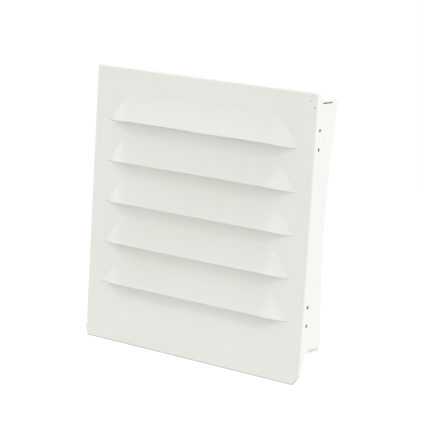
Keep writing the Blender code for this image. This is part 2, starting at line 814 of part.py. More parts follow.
def build_frame(parent, zinc, rivet_metal, bead_plastic, wire, foam):
    pieces = []
    for side, side_name in ((-1, "left"), (1, "right")):
        pieces.append(make_side_rail(f"frame_{side_name}_rail", side, zinc))
        pieces.append(make_bead(f"screen_bead_{side_name}", True, side, bead_plastic))
        for number, centre in enumerate(rivet_centres(side), start=1):
            pieces.append(make_rivet(f"corner_rivet_{side_name}_{number}", centre, side, rivet_metal))
        reach = FRAME_HALF_HEIGHT - GAP
        pieces.append(
            make_gasket(
                f"gasket_{side_name}",
                (side * FRAME_HALF_WIDTH, -GASKET_THICKNESS, -reach),
                (side * (FRAME_HALF_WIDTH - GASKET_WIDTH), 0.0, reach),
                foam,
            )
        )
    for sign, level_name in ((1, "top"), (-1, "bottom")):
        pieces.append(make_cross_rail(f"frame_{level_name}_rail", sign, zinc))
        pieces.append(make_bead(f"screen_bead_{level_name}", False, sign, bead_plastic))
        reach = FRAME_HALF_WIDTH - GASKET_WIDTH - GAP
        pieces.append(
            make_gasket(
                f"gasket_{level_name}",
                (-reach, -GASKET_THICKNESS, sign * (FRAME_HALF_HEIGHT - GAP)),
                (reach, 0.0, sign * (FRAME_HALF_HEIGHT - GAP - GASKET_WIDTH)),
                foam,
            )
        )
    pieces.append(make_screen(wire))
    for piece in pieces:
        piece.parent = parent


def main():
    clear_scene()
    paint = make_material("hood_paint", (0.86, 0.86, 0.83), 0.42, 0.0)
    zinc = make_material("frame_zinc", (0.62, 0.64, 0.66), 0.45, 1.0)
    spring = make_material("spring_steel", (0.34, 0.33, 0.32), 0.35, 1.0)
    rivet_metal = make_material("rivet_aluminium", (0.75, 0.75, 0.76), 0.35, 1.0)
    bead_plastic = make_material("bead_plastic", (0.11, 0.11, 0.12), 0.5, 0.0)
    wire = make_material("screen_wire", (0.45, 0.46, 0.47), 0.4, 1.0)
    foam = make_material("gasket_foam", (0.05, 0.05, 0.055), 0.9, 0.0)

    hood_slide = bpy.data.objects.new("hood_slide", None)
    wall_frame = bpy.data.objects.new("wall_frame", None)
    for empty in (hood_slide, wall_frame):
        bpy.context.scene.collection.objects.link(empty)
    hood_slide.parent = wall_frame
    build_hood(hood_slide, paint, spring)
    build_frame(wall_frame, zinc, rivet_metal, bead_plastic, wire, foam)


main()
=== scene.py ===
import json
import math

import bmesh
import bpy
from mathutils import Matrix, Vector


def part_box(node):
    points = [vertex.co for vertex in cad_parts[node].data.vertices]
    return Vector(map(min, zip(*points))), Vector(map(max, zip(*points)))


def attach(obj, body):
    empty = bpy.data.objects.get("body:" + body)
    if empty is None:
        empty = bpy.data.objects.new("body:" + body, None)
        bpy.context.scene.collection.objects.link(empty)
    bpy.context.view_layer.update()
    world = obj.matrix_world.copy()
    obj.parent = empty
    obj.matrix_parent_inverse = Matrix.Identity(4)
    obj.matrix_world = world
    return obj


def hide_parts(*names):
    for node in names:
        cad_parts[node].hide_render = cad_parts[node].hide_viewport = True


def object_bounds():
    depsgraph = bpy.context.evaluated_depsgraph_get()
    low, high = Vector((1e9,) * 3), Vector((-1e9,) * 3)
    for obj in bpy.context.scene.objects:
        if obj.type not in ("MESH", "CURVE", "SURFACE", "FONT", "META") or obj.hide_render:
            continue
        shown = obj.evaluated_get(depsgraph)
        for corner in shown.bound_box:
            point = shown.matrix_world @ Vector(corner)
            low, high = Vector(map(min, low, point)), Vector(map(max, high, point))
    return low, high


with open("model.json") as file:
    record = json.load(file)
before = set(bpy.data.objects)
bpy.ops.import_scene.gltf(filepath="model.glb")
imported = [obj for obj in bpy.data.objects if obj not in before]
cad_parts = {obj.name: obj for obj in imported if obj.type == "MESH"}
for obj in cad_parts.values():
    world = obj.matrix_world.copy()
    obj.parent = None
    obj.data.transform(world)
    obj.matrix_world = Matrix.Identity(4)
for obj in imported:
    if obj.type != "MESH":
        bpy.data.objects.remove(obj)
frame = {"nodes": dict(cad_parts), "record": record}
cadLow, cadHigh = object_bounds()
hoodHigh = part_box("front_hood")[1]
lipBottom = -0.1409            # the drip lip's lower edge
print("frame loaded:", len(frame["nodes"]), "nodes")


class Field:
    # one output socket that adds, scales and compares like a number

    def __init__(self, tree, socket):
        self.tree = tree
        self.socket = socket

    def maths(self, operation, *values):
        return self.tree.add("ShaderNodeMath", {"operation": operation}, values)

    def __add__(self, other):
        return self.maths("ADD", self, other)

    def __radd__(self, other):
        return self.maths("ADD", other, self)

    def __sub__(self, other):
        return self.maths("SUBTRACT", self, other)

    def __rsub__(self, other):
        return self.maths("SUBTRACT", other, self)

    def __mul__(self, other):
        return self.maths("MULTIPLY", self, other)

    def __truediv__(self, other):
        return self.maths("DIVIDE", self, other)

    def __pow__(self, other):
        return self.maths("POWER", self, other)

    def __gt__(self, other):
        return self.maths("GREATER_THAN", self, other)

    def __lt__(self, other):
        return self.maths("LESS_THAN", self, other)

    def __mod__(self, other):
        return self.maths("MODULO", self, other)

    def __abs__(self):
        return self.maths("ABSOLUTE", self)

    def least(self, other):
        return self.maths("MINIMUM", self, other)

    def most(self, other):
        return self.maths("MAXIMUM", self, other)

    def smooth(self, low, high):
        # 0 below low, 1 above high, eased in between
        settings = {"interpolation_type": "SMOOTHSTEP"}
        values = {"Value": self, "From Min": low, "From Max": high}
        return self.tree.add("ShaderNodeMapRange", settings, values)


class Tree:
    # adds nodes to one node tree

    def __init__(self, nodeTree):
        self.nodes = nodeTree.nodes
        self.links = nodeTree.links

    def add(self, kind, settings=None, values=(), output=0):
        node = self.nodes.new(kind)
        for name, setting in (settings or {}).items():
            setattr(node, name, setting)
        pairs = values.items() if isinstance(values, dict) else enumerate(values)
        for key, value in pairs:
            self.feed(node.inputs[key], value)
        return Field(self, node.outputs[output])

    def feed(self, socket, value):
        if isinstance(value, Field):
            self.links.new(value.socket, socket)
        elif isinstance(value, (list, tuple)) and value and isinstance(value[0], Field):
            for one in value:
                self.links.new(one.socket, socket)
        else:
            socket.default_value = value

    def parts(self, vector):
        node = self.nodes.new("ShaderNodeSeparateXYZ")
        self.feed(node.inputs[0], vector)
        return [Field(self, socket) for socket in node.outputs]

    def vector(self, x, y, z):
        return self.add("ShaderNodeCombineXYZ", None, (x, y, z))


class Finish(Tree):
    # a Principled material on Object coordinates

    def __init__(self, name, **constants):
        self.material = bpy.data.materials.new(name)
        self.material.use_nodes = True
        super().__init__(self.material.node_tree)
        self.shader = self.nodes["Principled BSDF"]
        self.place = self.add("ShaderNodeTexCoord", output="Object")
        for label, value in constants.items():
            self.shader.inputs[label.replace("_", " ")].default_value = value

    def noise(self, scale, detail=2.0, roughness=0.5, place=None):
        values = {"Vector": place or self.place, "Scale": scale}
        values.update({"Detail": detail, "Roughness": roughness})
        return self.add("ShaderNodeTexNoise", {"noise_dimensions": "3D"}, values)

    def stretched(self, x, y, z):
        return self.add("ShaderNodeVectorMath", {"operation": "MULTIPLY"}, (self.place, (x, y, z)))

    def cells(self, scale, output="Distance", place=None):
        values = {"Vector": place or self.place, "Scale": scale}
        return self.add("ShaderNodeTexVoronoi", {"feature": "F1"}, values, output)

    def mix(self, share, first, second):
        settings = {"data_type": "RGBA", "blend_type": "MIX"}
        return self.add("ShaderNodeMix", settings, {0: share, 6: first, 7: second}, output=2)

    def bump(self, height, distance, strength=1.0, under=None):
        values = {"Height": height, "Distance": distance, "Strength": strength}
        if under:
            values["Normal"] = under
        return self.add("ShaderNodeBump", None, values)

    def wire(self, **links):
        for label, value in links.items():
            self.feed(self.shader.inputs[label.replace("_", " ")], value)
        return self.material


powderCoat = {
    "shade": (0.668, 0.664, 0.621, 1.0),
    "shadeFaded": (0.651, 0.647, 0.604, 1.0),
    "roughness": 0.46,
    "peelSize": 0.0016,        # metres from crest to crest of the orange peel
    "peelHeight": 0.000012,
    "chipShade": (0.38, 0.33, 0.21, 1.0),
    "chipRadius": 0.00066,
    "chipsBefore": -0.02,      # only the panel's face is chipped, not what lies behind this Y
    "chips": [                 # across from the middle, down from the panel's top edge, share of radius
        (-0.1135, 0.0009, 0.8), (-0.0842, 0.0013, 0.9), (-0.0775, 0.0016, 0.9),
        (0.0263, 0.0026, 1.0), (0.1188, 0.0031, 0.8), (0.1175, 0.0072, 1.2),
        (0.1214, 0.0131, 1.45), (0.1136, 0.0236, 0.55),
    ],
    "dustShade": (0.60, 0.585, 0.54, 1.0),
    # bare steel on sheared edges, and painted shade on the drip lip's edge
    "edgeShade": (0.08, 0.08, 0.078, 1.0),
    "thinBand": (0.0019, 0.0109),      # above the drip lip's edge, where painted shade darkens the cut edge
    "rubBand": (0.00035, 0.00075),     # a painted shadow line along the drip lip's lower edge
}


def makePowderCoat():
    values = powderCoat
    finish = Finish("powderCoatWhite", Specular_IOR_Level=0.42, IOR=1.5)
    x, y, z = finish.parts(finish.place)

    clouds = finish.noise(9.0, 3.0).smooth(0.35, 0.65)
    shade = finish.mix(clouds, values["shade"], values["shadeFaded"])
    speckle = finish.noise(5200.0, 1.0).smooth(0.66, 0.74)
    shade = finish.mix(speckle * 0.16, shade, values["dustShade"])

    # rain streaks, longer than they are wide, just strong enough to break up the flats
    streaks = finish.noise(1.0, 3.0, 0.6, finish.stretched(130.0, 90.0, 12.0)).smooth(0.55, 0.85)
    shade = finish.mix(streaks * 0.05, shade, values["dustShade"])

    ragged = finish.noise(2600.0, 2.0) * 0.0009 - 0.00045
    nearest = None
    for across, down, size in values["chips"]:
        reach = ((x - across) ** 2.0 + (z - (hoodHigh.z - down)) ** 2.0) / size**2
        nearest = reach if nearest is None else nearest.least(reach)
    spread = nearest ** 0.5 + ragged
    radius = values["chipRadius"]
    chip = (1.0 - spread.smooth(radius * 0.7, radius * 1.3)) * (y < values["chipsBefore"])
    shade = finish.mix(chip * 0.6, shade, values["chipShade"])

    cut = finish.add("ShaderNodeAttribute", {"attribute_name": "cutEdge"}, output="Fac")
    # sheared edges get a little bare-steel colour; along the drip lip the edge gets painted shade for
    # its shadowed underside
    low, high = values["thinBand"]
    bareAndShadeWeight = (1.0 - z.smooth(lipBottom + low, lipBottom + high)) * 0.88 + 0.05
    bareAndShaded = cut * bareAndShadeWeight * finish.noise(900.0, 3.0, 0.6).smooth(0.15, 0.45)
    # a painted shadow line just above the drip lip's lower edge, broken up by noise
    low, high = values["rubBand"]
    shadowLine = 1.0 - z.smooth(lipBottom + low, lipBottom + high)
    bareAndShaded = bareAndShaded.most(shadowLine * finish.noise(300.0, 3.0, 0.6) * 0.85)
    # the cut edges' bare colour, with painted shade along the drip lip
    shade = finish.mix(bareAndShaded, shade, values["edgeShade"])

    peel = finish.noise(1.0 / values["peelSize"], 1.5)
    fine = finish.noise(3.1 / values["peelSize"], 1.0)
    dents = finish.noise(22.0, 1.0)
    under = finish.bump(dents, 0.00030, 0.35)
    coat = finish.bump(peel + fine * 0.25 - chip * 3.0, values["peelHeight"] * 4, 0.8, under)
    rough = values["roughness"] + (clouds - 0.5) * 0.05 + chip * 0.25 + speckle * 0.05
    return finish.wire(Base_Color=shade, Roughness=rough, Normal=coat)


galvanised = {
    "dark": (0.43, 0.45, 0.47, 1.0),
    "light": (0.66, 0.68, 0.69, 1.0),
    "bloom": (0.78, 0.79, 0.78, 1.0),
    "spangle": 0.011,          # metres across one zinc crystal
}


def makeGalvanised():
    values = galvanised
    finish = Finish("galvanisedSheet")
    wander = finish.noise(70.0, 2.0)
    shift = finish.vector(wander * 0.01, wander * 0.004, 0.0)
    bent = finish.add("ShaderNodeVectorMath", {"operation": "ADD"}, (finish.place, shift))
    crystal = finish.parts(finish.cells(1.0 / values["spangle"], "Color", bent))[0]
    feather = finish.noise(1.0, 2.0, 0.6, finish.stretched(900.0, 900.0, 120.0))
    zinc = (crystal * 0.75 + feather * 0.25).smooth(0.1, 0.95)
    shade = finish.mix(zinc, values["dark"], values["light"])
    bloom = finish.noise(30.0, 4.0, 0.65).smooth(0.56, 0.78)
    shade = finish.mix(bloom * 0.35, shade, values["bloom"])
    relief = finish.bump(crystal + feather * 0.2, 0.00003, 0.5)
    rough = 0.34 + crystal * 0.16 + bloom * 0.2
    return finish.wire(Base_Color=shade, Metallic=1.0 - bloom * 0.4, Roughness=rough, Normal=relief)


springSteel = {"dark": (0.16, 0.155, 0.15, 1.0), "tint": (0.25, 0.235, 0.215, 1.0)}


def makeSpringSteel():
    finish = Finish("oiledSpringSteel", Metallic=1.0)
    grain = finish.noise(1.0, 3.0, 0.6, finish.stretched(3000.0, 900.0, 90.0))
    patch = finish.noise(120.0, 3.0).smooth(0.4, 0.7)
    shade = finish.mix(patch, springSteel["dark"], springSteel["tint"])
    relief = finish.bump(grain, 0.00001, 0.5)
    return finish.wire(Base_Color=shade, Roughness=0.30 + grain * 0.18 + patch * 0.08, Normal=relief)


rivetMetal = {"bright": (0.80, 0.80, 0.81, 1.0), "dull": (0.60, 0.60, 0.61, 1.0)}


def makeRivetMetal():
    finish = Finish("drawnAluminium", Metallic=1.0)
    grain = finish.noise(1.0, 2.0, 0.6, finish.stretched(2200.0, 7000.0, 7000.0))
    dull = finish.noise(700.0, 2.0).smooth(0.45, 0.75)
    shade = finish.mix(dull, rivetMetal["bright"], rivetMetal["dull"])
    relief = finish.bump(grain, 0.00001, 0.4)
    return finish.wire(Base_Color=shade, Roughness=0.25 + grain * 0.16 + dull * 0.14, Normal=relief)


beadPlastic = {"shade": (0.028, 0.028, 0.031, 1.0), "dust": (0.085, 0.083, 0.08, 1.0)}


def makeBeadPlastic():
    finish = Finish("extrudedBeadPlastic")
    drawn = finish.noise(1.0, 2.0, 0.5, finish.stretched(1600.0, 1600.0, 1600.0))
    dusty = finish.noise(160.0, 4.0, 0.7).smooth(0.5, 0.8)
    shade = finish.mix(dusty * 0.5, beadPlastic["shade"], beadPlastic["dust"])
    relief = finish.bump(drawn, 0.00002, 0.6)
    return finish.wire(Base_Color=shade, Roughness=0.46 + drawn * 0.14 + dusty * 0.1, Normal=relief)


screenWire = {"bright": (0.56, 0.57, 0.58, 1.0), "tarnished": (0.36, 0.365, 0.37, 1.0)}


def makeScreenWire():
    finish = Finish("wovenScreenWire", Metallic=1.0)
    tarnish = finish.noise(60.0, 4.0, 0.65).smooth(0.4, 0.7)
    scuff = finish.noise(4200.0, 1.0)
    shade = finish.mix(tarnish, screenWire["bright"], screenWire["tarnished"])
    return finish.wire(Base_Color=shade, Roughness=0.32 + tarnish * 0.2 + scuff * 0.06)


foam = {"shade": (0.020, 0.020, 0.022, 1.0), "worn": (0.050, 0.050, 0.053, 1.0)}


def makeFoam():
    finish = Finish("closedCellFoam", Specular_IOR_Level=0.25)
    pores = finish.cells(1500.0)
    worn = finish.noise(140.0, 3.0).smooth(0.45, 0.75)
    shade = finish.mix(worn, foam["shade"], foam["worn"])
    relief = finish.bump(pores, 0.00025, 0.8)
    return finish.wire(Base_Color=shade, Roughness=0.86 + worn * 0.1, Normal=relief)


finishes = {
    "hood_paint": makePowderCoat(),
    "frame_zinc": makeGalvanised(),
    "spring_steel": makeSpringSteel(),
    "rivet_aluminium": makeRivetMetal(),
    "bead_plastic": makeBeadPlastic(),
    "screen_wire": makeScreenWire(),
    "gasket_foam": makeFoam(),
}
print("finishes made:", len(finishes))


def meshObject(name, build):
    mesh = bpy.data.meshes.new(name)
    build.to_mesh(mesh)
    build.free()
    made = bpy.data.objects.new(name, mesh)
    bpy.context.scene.collection.objects.link(made)
    return made


def settled(thing, name):
    # the evaluated result as a plain mesh object, and the working object gone
    view = bpy.context.evaluated_depsgraph_get()
    mesh = bpy.data.meshes.new_from_object(thing.evaluated_get(view))
    mesh.name = name
    bpy.data.objects.remove(thing, do_unlink=True)
    made = bpy.data.objects.new(name, mesh)
    bpy.context.scene.collection.objects.link(made)
    return made


def addModifier(thing, kind, **settings):
    step = thing.modifiers.new(kind.lower(), kind)
    for name, value in settings.items():
        setattr(step, name, value)
    return step


def markCutEdges(piece):
    # faces left on the second slot are sheared or punched sheet: note them, then give up the slot
    mark = piece.data.attributes.new("cutEdge", "FLOAT", "FACE")
    for face in piece.data.polygons:
        mark.data[face.index].value = float(face.material_index == 1)
        face.material_index = 0


def finishPiece(piece, nodes, body, slot):
    piece.data.materials.clear()
    piece.data.materials.append(finishes[slot])
    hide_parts(*nodes)
    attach(piece, body)
    return piece


def newGeometryTree(name, inputs):
    group = bpy.data.node_groups.new(name, "GeometryNodeTree")
    group.interface.new_socket("Geometry", in_out="INPUT", socket_type="NodeSocketGeometry")
    for label, (kind, value) in inputs.items():
        socket = group.interface.new_socket(label, in_out="INPUT", socket_type="NodeSocket" + kind)
        if value is not None:
            socket.default_value = value
    group.interface.new_socket("Geometry", in_out="OUTPUT", socket_type="NodeSocketGeometry")
    tree = Tree(group)
    entry = group.nodes.new("NodeGroupInput")
    given = {socket.name: Field(tree, socket) for socket in entry.outputs if socket.name}
    return group, tree, given


def closeTree(group, tree, geometry, given):
    whole = tree.add("GeometryNodeRealizeInstances", None, {"Geometry": geometry})
    whole = tree.add("GeometryNodeSetShadeSmooth", None, {"Geometry": whole, "Shade Smooth": True})
    whole = tree.add("GeometryNodeSetMaterial", None, {"Geometry": whole, "Material": given["Material"]})
    leave = group.nodes.new("NodeGroupOutput")
    tree.feed(leave.inputs["Geometry"], whole)


def growWith(thing, group, values):
    # puts the tree on the object, each value on the input of that name
    step = thing.modifiers.new(group.name, "NODES")
    step.node_group = group
    for item in group.interface.items_tree:
        if item.item_type == "SOCKET" and item.in_out == "INPUT" and item.name in values:
            step[item.identifier] = values[item.name]


hood = {
    "sheet": 0.0010,
    "bend": 0.0015,            # outer radius of the folds
    "bendSteps": 9,
    "depth": 0.0320,           # panel face to wall plane
    "casingHalf": 0.1141,      # the deep walls, above and below the middle
    "flange": 0.0054,
    "topFlange": 0.0031,
    "cornerRadius": 0.0055,    # deep wall, upper rear corner
    "cornerSteps": 8,
    "cornerCut": 0.0060,       # deep wall, lower rear corner
    "cornerCutSlope": 0.62,
    "rearArch": 0.0086,
    "flareStart": -0.1285,
    "lipSteps": 24,
    "lipCurve": 1.7,
    "lipForward": 0.0036,
    "lipCorner": 0.0054,
    "lipCornerHeight": 0.0110,
    "lipCornerCurve": 1.6,
    "flangeEnd": -0.1216,
    "flangeFade": 0.0105,
    "freeEdge": 0.0010,
    "supportLoop": 0.0006,     # a line of faces beside each fold keeps the panel flat
    "cutCrown": 0.0008,        # the panel's edge is drawn up a little beside each louvre's ends
    "rimRadius": 0.00013,      # paint-rounded cut edges
    "clipHoleRadius": 0.0015,
    "clipHoleDepth": 0.0056,
    "clipHoleSpacing": 0.0170,
    "clipHeight": 0.0792,
    "slotLength": 0.0150,
    "slotHeight": 0.0017,
    "slotInset": 0.0015,
    "upperSlotStart": 0.0076,
    "lowerSlotStart": 0.0116,
    "punchIn": 0.003,          # how far the punches run in from the side wall
    "punchOut": 0.002,         # how far the slot punches run out of it
}

louvre = {
    "Count": 5,
    "Pitch": 0.0390,
    "First Cut": 0.0700,       # height of the first cut line
    "Rise": 0.0292,            # cut line up to the top crease
    "Press": 0.0090,
    "Lip Lift": 0.0019,
    "Half Length": 0.1053,
    "Top Half": 0.0825,
    "End Run": 0.0243,
    "End Bow": 1.45,
    "End Blend": 0.22,
    "Top Blend": 0.16,
    "Middle Share": 0.30,      # part of the columns that the flat middle takes
    "End Reach": 1.22,
    "Columns": 34,             # from the middle to one end
    "Rows": 36,
}
cutWidth = 0.0003
cutOverrun = 0.0020
halfWidth = hoodHigh.x
panelTop = hoodHigh.z
frontY = -hood["depth"]
flatKinds = ("louvre", "margin", "support", "side")


def louvreFoot(slide):
    shrink = (louvre["Half Length"] - louvre["Top Half"]) * (1 - slide) ** louvre["End Bow"]
    return louvre["Half Length"] - shrink


def louvreX(share, slide):
    foot = louvreFoot(slide)
    endRun = louvre["End Reach"] * louvre["End Run"]
    middle = louvre["Middle Share"]
    if share <= middle:
        return share / middle * (foot - endRun)
    return foot - endRun * (1 - (share - middle) / (1 - middle))


def hoodColumns():
    # the right half, from the middle to the wall's rear edge
    count = louvre["Columns"]
    columns = [("louvre", k / count) for k in range(count + 1)]
    columns += [("margin", cutOverrun), ("support", hood["supportLoop"]), ("side", 0.0)]
    steps = hood["bendSteps"]
    columns += [("bend", (k + 1) / steps) for k in range(steps)]
    columns += [("edge", None), ("wall", 0.5), ("wall", 1.0)]
    return columns


def hoodRows():
    # from the top flange down to the drip lip
    rows = [{"kind": "flange", "z": panelTop, "turn": 1.0}]
    steps = hood["bendSteps"]
    rows += [{"kind": "cap", "turn": 1 - k / steps, "z": panelTop} for k in range(steps)]
    rows.append({"kind": "flat", "z": panelTop - hood["bend"]})
    rows.append({"kind": "flat", "z": panelTop - hood["bend"] - hood["supportLoop"]})
    for k in range(hood["cornerSteps"] + 1):
        ease = 1 - math.cos(math.pi / 2 * k / hood["cornerSteps"])
        rows.append({"kind": "flat", "z": hood["casingHalf"] - ease * hood["cornerRadius"]})
    count = louvre["Rows"]
    for number in range(louvre["Count"]):
        cut = louvre["First Cut"] - number * louvre["Pitch"]
        for k in range(count + 1):
            slide = k / count
            rows.append({"kind": "louvre", "z": cut + louvre["Rise"] * (1 - slide), "slide": slide})
        rows.append({"kind": "belowCut", "z": cut - cutWidth, "slide": 1.0})
    rows.append({"kind": "flat", "z": -hood["casingHalf"] + hood["cornerCut"]})
    rows.append({"kind": "flat", "z": -hood["casingHalf"]})
    steps = hood["lipSteps"]
    for k in range(steps + 1):
        drop = (lipBottom - hood["flangeEnd"]) * k / steps
        rows.append({"kind": "lip", "z": hood["flangeEnd"] + drop})
    return rows


def rearEdge(z):
    half = hood["casingHalf"]
    z = max(-half, min(half, z))
    y = -hood["rearArch"] * (1 - (z / half) ** 2)
    fromTop = half - z
    radius = hood["cornerRadius"]
    if fromTop < radius:
        y -= radius - math.sqrt(radius**2 - (radius - fromTop) ** 2)
    fromBottom = half + z
    if fromBottom < hood["cornerCut"]:
        y -= (hood["cornerCut"] - fromBottom) * hood["cornerCutSlope"]
    return y


def frontOf(z):
    share = max(0.0, (hood["flareStart"] - z) / (hood["flareStart"] - lipBottom))
    return frontY - hood["lipForward"] * share**hood["lipCurve"]


def halfWidthAt(z):
    share = max(0.0, 1 - (z - lipBottom) / hood["lipCornerHeight"])
    return halfWidth - hood["lipCorner"] * share**hood["lipCornerCurve"]


def flangeDepth(z):
    above = max(0.0, z - hood["casingHalf"]) / (panelTop - hood["casingHalf"])
    return hood["flange"] + (hood["topFlange"] - hood["flange"]) * above


def panelX(column, slide, sideX):
    kind, value = column
    if kind == "louvre":
        return louvreX(value, slide)
    if kind == "margin":
        return louvreFoot(slide) + value
    return sideX - value


def capPoint(row, column):
    # on the fold along the panel's top edge
    kind, value = column
    angle = row["turn"] * math.pi / 2
    bend = hood["bend"]
    shrink = math.cos(angle)
    flatX = halfWidth - bend
    turn = 0.0
    if kind in flatKinds:
        x = panelX(column, 0.0, flatX)
    else:
        turn = (value if kind == "bend" else 1.0) * math.pi / 2
        x = flatX + bend * math.sin(turn) * shrink
    y = frontY + bend * (1 - math.cos(turn) * shrink)
    if row["kind"] == "flange" or kind in ("edge", "wall"):
        y = frontY + hood["topFlange"]
    return Vector((x, y, panelTop - bend * (1 - math.sin(angle))))


def sheetPoint(row, column):
    kind, value = column
    if row["kind"] in ("flange", "cap"):
        return capPoint(row, column)
    z = row["z"]
    y = frontOf(z)
    bend = hood["bend"]
    fade = min(1.0, max(0.0, (hood["flangeEnd"] - z) / hood["flangeFade"]))
    fold = math.pi / 2 * (1 - fade**3)
    flange = (flangeDepth(z) - bend) * (1 - fade) + hood["freeEdge"] * fade
    sideX = halfWidthAt(z) - bend * math.sin(fold) - flange * math.cos(fold)
    if kind in flatKinds:
        if row["kind"] == "belowCut":
            z += cutWidth if kind == "margin" else 0.0
            z += hood["cutCrown"] * math.sin(math.pi * value) if kind == "louvre" else 0.0
        return Vector((panelX(column, row.get("slide", 0.0), sideX), y, z))

    turn = value * fold if kind == "bend" else fold
    x = sideX + bend * math.sin(turn)
    y += bend * (1 - math.cos(turn))
    if kind in ("edge", "wall"):
        x += flange * math.cos(fold)
        y += flange * math.sin(fold)
    if kind == "wall":
        y += (rearEdge(z) - y) * value
    return Vector((x, y, z))


def isSheet(upper, lower, column):
    # whether the sheet has metal in this cell; the louvres are pressed in later
    kind = column[0]
    if upper["kind"] == "flange":
        return kind in flatKinds
    if upper["kind"] == "louvre" and lower["kind"] == "louvre":
        return kind != "louvre"
    if lower["kind"] == "belowCut":
        return kind not in ("louvre", "margin")
    if kind == "wall":
        half = hood["casingHalf"] + 1e-6
        return upper["z"] <= half and lower["z"] >= -half and upper["kind"] != "cap"
    return True


def flatSheet():
    columns = hoodColumns()
    rows = hoodRows()
    build = bmesh.new()
    for side in (1, -1):
        grid = []
        for row in rows:
            points = [sheetPoint(row, column) for column in columns]
            grid.append([build.verts.new((side * p.x, p.y, p.z)) for p in points])
        for r in range(len(rows) - 1):
            for c in range(len(columns) - 1):
                if isSheet(rows[r], rows[r + 1], columns[c + 1]):
                    corners = [grid[r][c], grid[r + 1][c], grid[r + 1][c + 1], grid[r][c + 1]]
                    build.faces.new(corners if side > 0 else corners[::-1])
    bmesh.ops.remove_doubles(build, verts=build.verts, dist=1e-6)
    loose = [vert for vert in build.verts if not vert.link_faces]
    bmesh.ops.delete(build, geom=loose, context="VERTS")
    bmesh.ops.dissolve_degenerate(build, dist=1e-6, edges=build.edges)
    return meshObject("hoodSheet", build)


def louvreTree():
    kinds = {"Count": "Int", "Columns": "Int", "Rows": "Int"}
    inputs = {label: (kinds.get(label, "Float"), value) for label, value in louvre.items()}
    inputs["Front"] = ("Float", frontY)
    inputs["Material"] = ("Material", None)
    group, tree, given = newGeometryTree("pressedLouvres", inputs)

    blank = {
        "Size X": 2.0,
        "Size Y": 1.0,
        "Vertices X": given["Columns"] * 2 + 1,
        "Vertices Y": given["Rows"] + 1,
    }
    grid = tree.add("GeometryNodeMeshGrid", None, blank)
    across, along = tree.parts(tree.add("GeometryNodeInputPosition"))[:2]
    slide = 0.5 - along
    share = abs(across)
    middle = given["Middle Share"]
    taper = given["Half Length"] - given["Top Half"]
    foot = given["Half Length"] - taper * (1 - slide) ** given["End Bow"]
    endRun = given["End Reach"] * given["End Run"]
    inner = share / middle * (foot - endRun)
    outer = foot - endRun * (1 - (share - middle) / (1 - middle))
    x = inner + (outer - inner) * (share > middle)

    # how far out each point is pressed: down the face, or up the end, eased where they meet
    soft = given["Top Blend"]
    face = ((slide**2 + soft**2) ** 0.5 - soft) / ((1 + soft**2) ** 0.5 - soft)
    end = (foot - x) / given["End Run"]
    ease = given["End Blend"].least(face * 2).least(end * 2) + 1e-6
    near = (ease - abs(face - end)).most(0.0) / ease
    press = (face.least(end) - near * near * ease / 4).most(0.0)

    side = tree.add("ShaderNodeMath", {"operation": "SIGN"}, (across,))
    z = given["First Cut"] + given["Rise"] * (1 - slide) + given["Lip Lift"] * press**2
    place = tree.vector(side * x, given["Front"] - given["Press"] * press, z)
    pressed = tree.add("GeometryNodeSetPosition", None, {"Geometry": grid, "Position": place})

    ladder = {"Count": given["Count"], "Offset": tree.vector(0.0, 0.0, given["Pitch"] * -1.0)}
    points = tree.add("GeometryNodeMeshLine", {"mode": "OFFSET"}, ladder)
    spread = tree.add("GeometryNodeInstanceOnPoints", None, {"Points": points, "Instance": pressed})
    louvres = tree.add("GeometryNodeRealizeInstances", None, {"Geometry": spread})
    joined = tree.add("GeometryNodeJoinGeometry", None, {"Geometry": [louvres, given["Geometry"]]})
    joined = tree.add("GeometryNodeMergeByDistance", None, {"Geometry": joined, "Distance": 0.00002})
    closeTree(group, tree, joined, given)
    return group


def addBlock(build, low, high):
    for corner in bmesh.ops.create_cube(build, size=1.0)["verts"]:
        corner.co = Vector((low[k] + high[k]) / 2 + corner.co[k] * (high[k] - low[k]) for k in range(3))


def hoodPunch():
    # the slots and clip holes of both walls, as one cutter
    build = bmesh.new()
    wall = (halfWidth - hood["punchIn"], halfWidth + hood["punchOut"])
    edge = hood["casingHalf"] - hood["slotInset"]
    quarterTurn = Matrix.Rotation(math.pi / 2, 4, "Y")
    for side in (1, -1):
        near, far = sorted(side * x for x in wall)
        slots = ((hood["upperSlotStart"], edge), (hood["lowerSlotStart"], hood["slotHeight"] - edge))
        for start, top in slots:
            low = (near, frontY + start, top - hood["slotHeight"])
            addBlock(build, low, (far, frontY + start + hood["slotLength"], top))
        for level in (1, -1):
            for step in (0.5, -0.5):
                height = level * hood["clipHeight"] + step * hood["clipHoleSpacing"]
                place = Matrix.Translation((side * halfWidth, frontY + hood["clipHoleDepth"], height))
                bmesh.ops.create_cone(
                    build, cap_ends=True, segments=40, depth=hood["punchIn"] * 2,
                    matrix=place @ quarterTurn, radius1=hood["clipHoleRadius"],
                    radius2=hood["clipHoleRadius"],
                )
    for face in build.faces:
        face.material_index = 1
    punch = meshObject("hoodPunch", build)
    punch.hide_render = True
    return punch


def makeFrontHood():
    sheet = flatSheet()
    growWith(sheet, louvreTree(), {**louvre, "Front": frontY, "Material": finishes["hood_paint"]})
    shell = settled(sheet, "pressedSheet")
    addModifier(
        shell, "SOLIDIFY", thickness=hood["sheet"], offset=-1.0,
        use_even_offset=True, material_offset_rim=1,
    )
    punch = hoodPunch()
    for thing in (shell, punch):
        thing.data.materials.clear()
        for name in ("hood_paint", "frame_zinc"):
            thing.data.materials.append(finishes[name])
    addModifier(shell, "BOOLEAN", operation="DIFFERENCE", solver="EXACT", object=punch)
    addModifier(
        shell, "BEVEL", width=hood["rimRadius"], segments=2, limit_method="ANGLE",
        angle_limit=math.radians(50), use_clamp_overlap=False, material=1,
    )
    addModifier(shell, "WEIGHTED_NORMAL", keep_sharp=True, weight=60)
    piece = settled(shell, "frontHood")
    bpy.data.objects.remove(punch, do_unlink=True)
    markCutEdges(piece)
    return finishPiece(piece, ["front_hood"], "hood", "hood_paint")


frontHood = makeFrontHood()
print("front hood:", len(frontHood.data.polygons), "faces")


